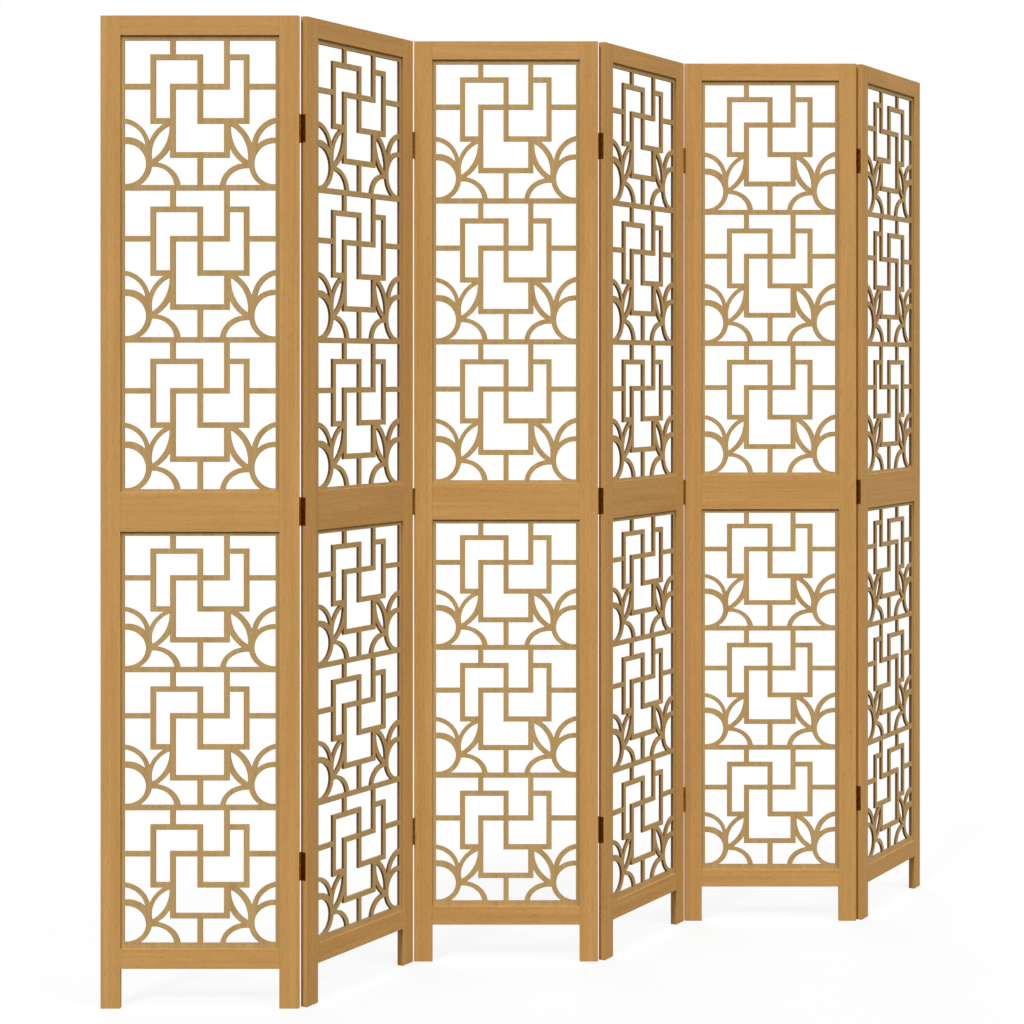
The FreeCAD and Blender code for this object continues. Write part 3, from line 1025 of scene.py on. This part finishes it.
@dataclass
class LatticeBoards:
    """The pierced boards: a stack of equal tiles inside a plain margin."""

    finish: WoodFinish = WoodFinish("lattice wood", light=tone(189, 157, 104),
                                    dark=tone(173, 139, 87), pore=tone(131, 97, 55),
                                    cut=tone(148, 108, 68))
    boards: tuple[BoardSizes, ...] = (
        BoardSizes("upper_lattice", 0.0, 0.010, 0.0045, 0.0086),
        BoardSizes("lower_lattice", 0.005, 0.0094, 0.0096, 0.0075),
    )
    tile_count: int = 3
    upright_stroke: float = 0.010
    side_margin: float = 0.007
    groove_reach: float = 0.0055
    shade_angle: float = math.radians(20)

    def _recipe(self) -> Recipe:
        """Write the tree that repeats a tile up a board and closes it with a margin.

        Returns:
            The recipe, whose geometry is one flat tile.
        """
        lengths = ("Tile height", "First rise", "Opening width", "Opening height", "Thickness",
                   "Groove reach", "Side margin", "Foot margin", "Head margin")
        kinds = {"Tile count": "Int", **dict.fromkeys(lengths, "Float"), "Material": "Material"}
        recipe = Recipe("lattice board", kinds)
        graph, size = recipe.graph, recipe.size
        thick, side = size("Thickness"), size("Side margin")
        tile = self._thickened(graph, recipe.start.outputs["Geometry"], thick)
        inputs = {"Count": size("Tile count"), "Start Location": graph.vector(z=size("First rise")),
                  "Offset": graph.vector(z=size("Tile height"))}
        rows = graph.add("GeometryNodeMeshLine", {"mode": "OFFSET"}, inputs)
        inputs = {"Points": rows.outputs[0], "Instance": tile}
        stack = graph.add("GeometryNodeInstanceOnPoints", None, inputs)
        tiles = graph.add("GeometryNodeRealizeInstances", None, {"Geometry": stack.outputs[0]})
        width, height, reach = size("Opening width"), size("Opening height"), size("Groove reach")
        foot, head = size("Foot margin"), height - size("Head margin")
        outside = self._block(graph, -reach, width + reach, 0.0, thick, -reach, height + reach)
        inside = self._block(graph, side, width - side, -thick, thick * 2, foot, head)
        board = graph.united([tiles.outputs[0], graph.cut(outside, [inside])], crossing=True)
        recipe.finish(self._marked(graph, board))
        return recipe

    @staticmethod
    def _thickened(graph: Graph, face: bpy.types.NodeSocket, thickness: Signal
                   ) -> bpy.types.NodeSocket:
        """Give a flat face its thickness.

        Args:
            graph: The tree.
            face: The flat geometry.
            thickness: How thick it gets.

        Returns:
            The solid geometry.
        """
        inputs = {"Mesh": face, "Offset": (0, 1, 0), "Offset Scale": thickness, "Individual": False}
        raised = graph.add("GeometryNodeExtrudeMesh", {"mode": "FACES"}, inputs)
        front = graph.add("GeometryNodeFlipFaces", None, {"Mesh": face})
        shells = [raised.outputs[0], front.outputs[0]]
        both = graph.add("GeometryNodeJoinGeometry", None, {0: shells})
        inputs = {"Geometry": both.outputs[0], "Distance": WELD}
        return graph.add("GeometryNodeMergeByDistance", None, inputs).outputs[0]

    @staticmethod
    def _block(graph: Graph, x0: object, x1: object, y0: object, y1: object,
               z0: object, z1: object) -> bpy.types.NodeSocket:
        """A block between two places on each axis.

        Args:
            graph: The tree.
            x0: Left.
            x1: Right.
            y0: Front.
            y1: Back.
            z0: Foot.
            z1: Head.

        Returns:
            The block's geometry.
        """
        size = graph.vector(x1 - x0, y1 - y0, z1 - z0)
        centre = graph.vector((x0 + x1) * 0.5, (y0 + y1) * 0.5, (z0 + z1) * 0.5)
        return graph.moved(graph.block(size), centre)

    @staticmethod
    def _marked(graph: Graph, board: bpy.types.NodeSocket) -> bpy.types.NodeSocket:
        """Mark the faces that the cutter made, for the material to read.

        Args:
            graph: The tree.
            board: The board's geometry.

        Returns:
            The marked geometry.
        """
        normal = graph.add("GeometryNodeInputNormal")
        parts = graph.add("ShaderNodeSeparateXYZ", None, {0: normal.outputs[0]})
        cut = 1 - graph.signal(parts, 1).size()
        settings = {"data_type": "FLOAT", "domain": "FACE"}
        inputs = {"Geometry": board, "Name": CUT_MARK, "Value": cut}
        return graph.add("GeometryNodeStoreNamedAttribute", settings, inputs).outputs[0]

    def build(self, panels: list[Panel]) -> None:
        """Make the boards of every panel.

        Args:
            panels: The screen's panels.
        """
        recipe = self._recipe()
        for sizes in self.boards:
            pattern = self._pattern(recipe, panels[0], sizes)
            for panel in panels:
                self._board(pattern, panel, sizes, panel is panels[-1])
            bpy.data.objects.remove(pattern)

    def _pattern(self, recipe: Recipe, panel: Panel, sizes: BoardSizes) -> bpy.types.Object:
        """Make one kind of board, with its opening's lower left corner at the origin.

        Args:
            recipe: The tree that repeats the tile.
            panel: A panel to measure.
            sizes: The board's own sizes.

        Returns:
            The board.
        """
        low, high = panel.span(sizes.piece)
        width = high.x - low.x - 2 * self.groove_reach
        height = high.z - low.z - 2 * self.groove_reach
        tile_height = (height - sizes.first_rise) / self.tile_count
        tile = LatticeTile(width, tile_height, self.upright_stroke, sizes.cross_stroke)
        pattern = new_piece(sizes.piece, tile.mesh())
        recipe.apply(pattern, {
            "Tile count": self.tile_count,
            "Tile height": tile_height,
            "First rise": sizes.first_rise,
            "Opening width": width,
            "Opening height": height,
            "Thickness": high.y - low.y,
            "Groove reach": self.groove_reach,
            "Side margin": self.side_margin,
            "Foot margin": sizes.foot_margin,
            "Head margin": sizes.head_margin,
            "Material": self.finish.material(panel.heading, Grain.UPRIGHT),
        })
        set_shape(pattern)
        weld(pattern.data)
        shade(pattern.data, self.shade_angle)
        return pattern

    def _board(self, pattern: bpy.types.Object, panel: Panel, sizes: BoardSizes,
               mirrored: bool) -> None:
        """Set a board in its panel, in place of the CAD node.

        Args:
            pattern: The board to copy.
            panel: The board's panel.
            sizes: The board's own sizes.
            mirrored: Whether its pattern is turned left to right.
        """
        low, high = panel.span(sizes.piece)
        left = high.x - self.groove_reach if mirrored else low.x + self.groove_reach
        corner = Vector((left, low.y, low.z + self.groove_reach))
        mirror = Matrix.Diagonal((-1 if mirrored else 1, 1, 1, 1))
        board = new_piece(f"{panel.body}_{sizes.piece}_board", pattern.data.copy())
        board.data.transform(panel.turn @ Matrix.Translation(corner) @ mirror)
        weld(board.data, mirrored)
        dress(board, self.finish.material(panel.heading, Grain.UPRIGHT))
        hand_over(board, panel, sizes.piece)


# Hinges


@dataclass
class HingeScrews:
    """Countersunk screws with a cross recess, three in each leaf."""

    finish: BronzeFinish = BronzeFinish("screw bronze", tone(114, 70, 34), tone(70, 38, 15))
    head_diameter: float = 0.0044
    head_depth: float = 0.0009
    head_round: float = 0.00016
    shank_diameter: float = 0.0022
    point_length: float = 0.0025
    recess_length: float = 0.0024
    recess_width: float = 0.0005
    recess_depth: float = 0.0005
    length: float = 0.014
    rim_steps: int = 24
    shade_angle: float = math.radians(25)
    seed: int = 7

    @property
    def lengths(self) -> dict[str, float]:
        """The screw's sizes under the names of the tree's inputs.

        Returns:
            Each size by its name.
        """
        return {
            "Head diameter": self.head_diameter,
            "Head depth": self.head_depth,
            "Head round": self.head_round,
            "Shank diameter": self.shank_diameter,
            "Shank length": self.length - self.head_depth - self.point_length,
            "Point length": self.point_length,
            "Recess length": self.recess_length,
            "Recess width": self.recess_width,
            "Recess depth": self.recess_depth,
        }

    def _recipe(self) -> Recipe:
        """Write the tree that sets a screw at each point, turned at random.

        Returns:
            The recipe, whose geometry is the screws' places.
        """
        kinds = dict.fromkeys(self.lengths, "Float")
        kinds |= {"Rim steps": "Int", "Seed": "Int", "Material": "Material"}
        recipe = Recipe("hinge screws", kinds)
        graph, size = recipe.graph, recipe.size
        facing = graph.add("GeometryNodeInputNamedAttribute", {"data_type": "FLOAT_VECTOR"},
                           {"Name": FACING_MARK})
        aimed = graph.add("FunctionNodeAlignRotationToVector", {"axis": "Z"},
                          {"Vector": facing.outputs[0]})
        chance = graph.add("FunctionNodeRandomValue", {"data_type": "FLOAT"},
                           {2: 0.0, 3: math.pi / 2, "Seed": size("Seed")})
        spin = graph.add("FunctionNodeAxisAngleToRotation", None,
                         {"Axis": (0, 0, 1), "Angle": chance.outputs[1]})
        turned = graph.add("FunctionNodeRotateRotation", {"rotation_space": "LOCAL"},
                           {0: aimed.outputs[0], 1: spin.outputs[0]})
        inputs = {"Points": recipe.start.outputs["Geometry"],
                  "Instance": self._screw(graph, size), "Rotation": turned.outputs[0]}
        recipe.finish(graph.add("GeometryNodeInstanceOnPoints", None, inputs).outputs[0])
        return recipe

    def _screw(self, graph: Graph, size: Callable[[str], Signal]) -> bpy.types.NodeSocket:
        """One screw that points down from the origin.

        Args:
            graph: The tree.
            size: Looks up an input of the tree.

        Returns:
            The screw's geometry.
        """
        steps, edge, depth = size("Rim steps"), size("Head round"), size("Head depth")
        radius, shank = size("Head diameter") * 0.5, size("Shank diameter") * 0.5
        body, point = size("Shank length"), size("Point length")
        foot = -depth - body
        whole = graph.united([
            self._length(graph, steps, radius, radius - edge, edge, -edge),
            self._length(graph, steps, shank, radius, depth - edge, -depth),
            self._length(graph, steps, shank, shank, body, foot),
            self._length(graph, steps, edge, shank, point, foot - point),
        ])
        long, wide, deep = size("Recess length"), size("Recess width"), size("Recess depth") * 2
        arms = [graph.vector(x, y, deep) for x, y in ((long, wide), (wide, long))]
        return graph.cut(whole, [graph.block(arm) for arm in arms])

    @staticmethod
    def _length(graph: Graph, steps: Signal, bottom: Signal, top: Signal, depth: Signal,
                foot: Signal) -> bpy.types.NodeSocket:
        """A round length of the screw.

        Args:
            graph: The tree.
            steps: How many sides it has.
            bottom: Radius at its foot.
            top: Radius at its top.
            depth: Its length.
            foot: Height of its foot.

        Returns:
            Its geometry.
        """
        inputs = {"Vertices": steps, "Radius Top": top, "Radius Bottom": bottom, "Depth": depth}
        cone = graph.add("GeometryNodeMeshCone", {"fill_type": "NGON"}, inputs)
        return graph.moved(cone.outputs[0], graph.vector(z=foot))

    def build(self, panels: list[Panel]) -> None:
        """Set the screws of every panel where its CAD screws are.

        Args:
            panels: The screen's panels.
        """
        recipe = self._recipe()
        for panel in panels:
            solids = islands(panel.node("hinge_screws").data)
            places = [self._head(panel, corners) for corners in solids]
            mesh = bpy.data.meshes.new("screw places")
            mesh.from_pydata([place for place, _ in places], [], [])
            facing = mesh.attributes.new(FACING_MARK, "FLOAT_VECTOR", "POINT")
            for point, (_, outward) in zip(facing.data, places):
                point.vector = outward
            screws = new_piece(f"{panel.body}_hinge_screws_cross", mesh)
            recipe.apply(screws, {**self.lengths, "Rim steps": self.rim_steps,
                                  "Seed": self.seed, "Material": self.finish.material()})
            set_shape(screws)
            shade(screws.data, self.shade_angle)
            hand_over(screws, panel, "hinge_screws")

    @staticmethod
    def _head(panel: Panel, corners: list[Vector]) -> tuple[Vector, Vector]:
        """Find where a CAD screw's head is.

        Args:
            panel: The screw's panel.
            corners: The screw's corners.

        Returns:
            The middle of its head's face and the way that it looks.
        """
        back = panel.turn.inverted()
        points = [back @ corner for corner in corners]
        low, high = min(point.x for point in points), max(point.x for point in points)
        middle = sum((point.x for point in points), 0.0) / len(points)
        outward = 1 if high - middle < middle - low else -1
        end = high if outward > 0 else low
        depths, heights = [point.y for point in points], [point.z for point in points]
        face = Vector((end, (min(depths) + max(depths)) / 2, (min(heights) + max(heights)) / 2))
        return panel.turn @ face, panel.along * outward


@dataclass
class HingeMetal:
    """The leaves with their knuckles, and the pins, with their edges a little blunted."""

    finish: BronzeFinish = BronzeFinish("hinge bronze", tone(141, 90, 29), tone(100, 58, 15))
    pieces: tuple[str, ...] = ("hinge_leaves", "hinge_pins")
    arris: float = 0.00015
    arris_steps: int = 2
    sharp_angle: float = math.radians(35)
    shade_angle: float = math.radians(20)
    flat_angle: float = math.radians(0.5)

    def _blunted(self, node: bpy.types.Object) -> bpy.types.Object:
        """Copy a CAD node and round its sharp edges.

        Args:
            node: The CAD node.

        Returns:
            The copy.
        """
        piece = new_piece(node.name + "_bronze", node.data.copy())
        work = opened(piece.data)
        bmesh.ops.dissolve_limit(work, angle_limit=self.flat_angle,
                                 verts=work.verts, edges=work.edges)
        close(work, piece.data)
        bevel = piece.modifiers.new("arris", "BEVEL")
        bevel.width = self.arris
        bevel.segments = self.arris_steps
        bevel.limit_method = "ANGLE"
        bevel.angle_limit = self.sharp_angle
        set_shape(piece)
        shade(piece.data, self.shade_angle)
        return piece

    def build(self, panels: list[Panel]) -> None:
        """Make the leaves and pins that each panel has.

        Args:
            panels: The screen's panels.
        """
        for panel in panels:
            for name in self.pieces:
                if panel.has(name):
                    piece = self._blunted(panel.node(name))
                    dress(piece, self.finish.material())
                    hand_over(piece, panel, name)


# The studio


@dataclass(frozen=True)
class SoftSun:
    """A broad lamp far away, placed by where the camera sees it."""

    name: str
    side_angle: float
    height_angle: float
    spread: float
    strength: float

    def hang(self, camera_heading: float) -> None:
        """Hang the lamp.

        Args:
            camera_heading: The camera's turn about the upright axis.
        """
        data = bpy.data.lights.new(self.name, "SUN")
        data.angle = math.radians(self.spread)
        data.energy = self.strength
        lamp = new_piece(self.name, data)
        side, rise = math.radians(self.side_angle), math.radians(self.height_angle)
        reach = math.cos(rise)
        level = Vector((math.sin(side) * reach, -math.cos(side) * reach, math.sin(rise)))
        toward = Matrix.Rotation(camera_heading, 3, "Z") @ level
        lamp.rotation_euler = toward.to_track_quat("Z", "Y").to_euler()


@dataclass
class Studio:
    """White floor and backdrop, soft lamps and the camera.

    Places are given to the right of, away from and above the screen's foot, as the camera
    looks at it.
    """

    camera_heading: float = math.radians(-30)
    camera_right: float = -0.1360
    camera_away: float = -4.3238
    camera_height: float = 1.1304
    focal_pixels: float = 2229.7
    centre_pixels: Point = (505.5, 367.05)
    sensor: float = 36.0
    floor_side: float = 60.0
    floor_tone: float = 0.62
    floor_glow: float = 0.80
    floor_bounce: float = 0.10
    sky_level: float = 0.379
    lamps: tuple[SoftSun, ...] = (
        SoftSun("key from the left", -28, 40, 10, 1.93),
        SoftSun("fill from the right", 60, 45, 35, 1.64),
        SoftSun("top", 0, 75, 120, 0.80),
        SoftSun("from behind", -165, 40, 40, 2.10),
    )

    def place(self, right: float, away: float, up: float) -> Vector:
        """Turn a place as the camera sees it into the model's frame."""
        turned = Matrix.Rotation(self.camera_heading, 3, "Z") @ Vector((right, away, 0))
        return turned + Vector((0, 0, up))

    def camera(self) -> None:
        """Set the camera level, with the frame shifted to the photograph's."""
        data = bpy.data.cameras.new("camera")
        data.sensor_width = self.sensor
        data.lens = self.focal_pixels / IMAGE_SIDE * self.sensor
        data.shift_x = 0.5 - self.centre_pixels[0] / IMAGE_SIDE
        data.shift_y = self.centre_pixels[1] / IMAGE_SIDE - 0.5
        camera = new_piece("camera", data)
        camera.location = self.place(self.camera_right, self.camera_away, self.camera_height)
        camera.rotation_euler = (math.pi / 2, 0, self.camera_heading)
        bpy.context.scene.camera = camera

    @staticmethod
    def _seen(graph: Graph) -> Signal:
        """Tell where the camera, a gloss or a clear body looks straight at the stage.

        Args:
            graph: The graph of the floor or the world.

        Returns:
            One there, and nought elsewhere.
        """
        path = graph.add("ShaderNodeLightPath")
        camera = graph.signal(path, "Is Camera Ray")
        glossy = graph.signal(path, "Is Glossy Ray")
        return camera.larger(glossy).larger(graph.signal(path, "Is Transmission Ray"))

    def world(self) -> None:
        """Light the screen evenly from a sky that shows as plain white."""
        world = bpy.data.worlds.new("studio")
        bpy.context.scene.world = world
        graph = bare_graph(world)
        lit = graph.add("ShaderNodeBackground", None, {"Color": WHITE, "Strength": self.sky_level})
        white = graph.add("ShaderNodeBackground", None, {"Color": WHITE, "Strength": 1.0})
        mixed = graph.mixed(self._seen(graph), lit.outputs[0], white.outputs[0])
        graph.add("ShaderNodeOutputWorld", None, {"Surface": mixed})

    def floor(self) -> None:
        """Lay a floor that shows white with the screen's shadow, and throws little light back."""
        half = self.floor_side / 2
        mesh = bpy.data.meshes.new("floor")
        corners = [(-half, -half, 0), (half, -half, 0), (half, half, 0), (-half, half, 0)]
        mesh.from_pydata(corners, [], [(0, 1, 2, 3)])
        floor = new_piece("floor", mesh)
        material = bpy.data.materials.new("white floor")
        graph = bare_graph(material)
        matt = graph.add("ShaderNodeBsdfDiffuse", None, {"Color": grey(self.floor_tone)})
        dull = graph.add("ShaderNodeBsdfDiffuse", None, {"Color": grey(self.floor_bounce)})
        glow = graph.add("ShaderNodeEmission", None, {"Color": WHITE, "Strength": 1.0})
        shown = graph.mixed(self.floor_glow, matt.outputs[0], glow.outputs[0])
        mixed = graph.mixed(self._seen(graph), dull.outputs[0], shown)
        graph.add("ShaderNodeOutputMaterial", None, {"Surface": mixed})
        mesh.materials.append(material)

    def build(self) -> None:
        """Set the stage."""
        bpy.context.scene.view_settings.view_transform = "Standard"
        self.camera()
        self.world()
        self.floor()
        for lamp in self.lamps:
            lamp.hang(self.camera_heading)


def main() -> None:
    """Dress the screen and set the stage."""
    logging.basicConfig(level=logging.INFO, format="%(message)s")
    panels = [Panel.from_body(body) for body in frame["bodies"]]
    PanelFrames().build(panels)
    LatticeBoards().build(panels)
    HingeMetal().build(panels)
    HingeScrews().build(panels)
    Studio().build()


if __name__ == "__main__":
    main()
